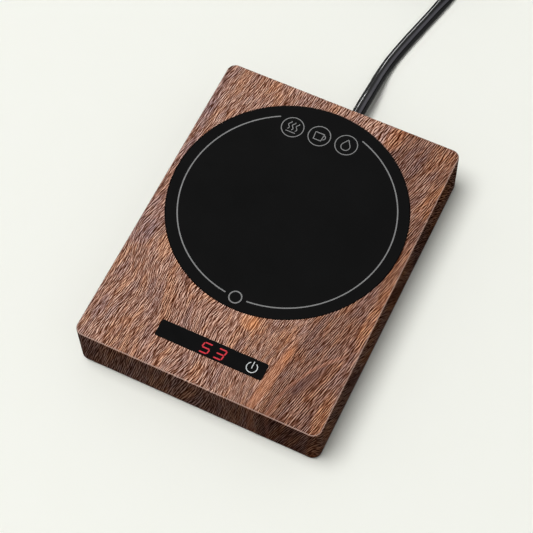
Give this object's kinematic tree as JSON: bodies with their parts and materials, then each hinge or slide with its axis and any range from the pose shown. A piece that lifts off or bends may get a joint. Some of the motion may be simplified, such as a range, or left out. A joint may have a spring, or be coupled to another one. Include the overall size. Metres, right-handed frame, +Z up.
{
  "type": "electric mug warmer",
  "caption": "Flat desk mug warmer: flush round glass warming plate, touch display, foil heater with a snap-disc cut-out, flat mains lead with a plug.",
  "frame": {"origin": "middle of the housing's footprint, on the surface that the rubber feet stand on", "axes": "+Z up out of the warming plate, +Y from the display at the front to the lead at the back, +X to the right of a user who sits in front of the display"},
  "size_m": [0.1658, 0.3524, 0.0285],
  "materials": {
    "walnut_film": "printed walnut film with a fine embossed grain, satin",
    "black_plastic": "fine texture",
    "black_rubber": "matt",
    "zinc_steel": "zinc plated",
    "black_glass": "opaque black printed glass, polished",
    "silicone": "matt",
    "aluminium_sheet": "mill finish",
    "mica": "flaky silver sheet",
    "etched_foil": "etched",
    "ceramic_felt": "felt",
    "steel_sheet": "zinc plated sheet",
    "bimetal": "satin",
    "ceramic": "glazed ceramic",
    "brass_strip": "satin",
    "silver_contact": "silver",
    "brown_phenolic": "moulded phenolic",
    "black_lens": "smoked acrylic",
    "white_plastic": "nylon",
    "green_laminate": "solder mask on glass laminate",
    "chip_black": "moulded epoxy",
    "green_plastic": "moulded",
    "ferrite": "ferrite core in a sleeve",
    "capacitor_sleeve": "shrink sleeve over a can",
    "yellow_plastic": "moulded box",
    "blue_epoxy": "dipped epoxy",
    "grey_wire": "PVC insulation",
    "white_sleeve": "braided glass sleeve",
    "brown_blue_wire": "PVC insulation, one brown and one blue",
    "black_wire": "PVC insulation",
    "black_pvc": "soft glossy PVC",
    "brass_blade": "polished"
  },
  "bodies": {
    "housing": {"upper_housing": "walnut_film", "bottom_cover": "black_plastic", "rubber_feet": "black_rubber", "cover_screws": "zinc_steel", "glass_disc": "black_glass", "glass_gasket": "silicone", "heat_spreader": "aluminium_sheet", "upper_mica": "mica", "heater_foil": "etched_foil", "lower_mica": "mica", "insulation_pad": "ceramic_felt", "pressure_plate": "steel_sheet", "plate_screws": "zinc_steel", "cutout_cap": "aluminium_sheet", "bimetal_disc": "bimetal", "guide_disc": "ceramic", "contact_terminals": "brass_strip", "cutout_case": "brown_phenolic", "cutout_flange": "steel_sheet", "bracket_screws": "zinc_steel", "thermal_fuse": "ceramic", "fuse_clip": "steel_sheet", "temperature_sensor": "aluminium_sheet", "display_lens": "black_lens", "digit_shade": "white_plastic", "control_board": "green_laminate", "touch_spring": "brass_strip", "control_chip": "chip_black", "buzzer": "black_plastic", "harness_connectors": "white_plastic", "control_screws": "zinc_steel", "power_board": "green_laminate", "screw_terminals": "green_plastic", "heat_sink": "aluminium_sheet", "triac": "chip_black", "supply_inductor": "ferrite", "smoothing_capacitors": "capacitor_sleeve", "film_capacitor": "yellow_plastic", "varistor": "blue_epoxy", "input_fuse": "ceramic", "supply_chip": "chip_black", "board_screws": "zinc_steel", "display_harness": "grey_wire", "heater_leads": "white_sleeve", "mains_leads": "brown_blue_wire", "sensor_leads": "black_wire", "cord_sheath": "black_pvc", "strain_relief": "black_pvc", "cord_clamp": "white_plastic", "clamp_screws": "zinc_steel", "power_cord": "black_pvc", "cord_coil": "black_pvc", "coil_ties": "black_rubber", "plug_lead": "black_pvc", "plug_body": "black_pvc", "plug_blades": "brass_blade"},
    "trip_pin": {"trip_pin": "ceramic"},
    "contact_arm": {"contact_arm": "brass_strip", "moving_contact": "silver_contact"}
  },
  "joints": [
    {"name": "trip_pin_slide", "type": "slide", "parent": "housing", "child": "trip_pin", "axis": [0, 0, -1], "range_m": [0, 0.0005], "stiffness_N_per_m": 100, "deforming": ["bimetal_disc"]},
    {"name": "contact_arm_hinge", "type": "hinge", "parent": "housing", "child": "contact_arm", "pos_m": [-0.0057, 0.0185, 0.0182], "axis": [0, 1, 0], "range_deg": [0, 5.73]}
  ],
  "couplings": [
    {"joint": "contact_arm_hinge", "follows": "trip_pin_slide", "rad_per_m": 200}
  ]
}
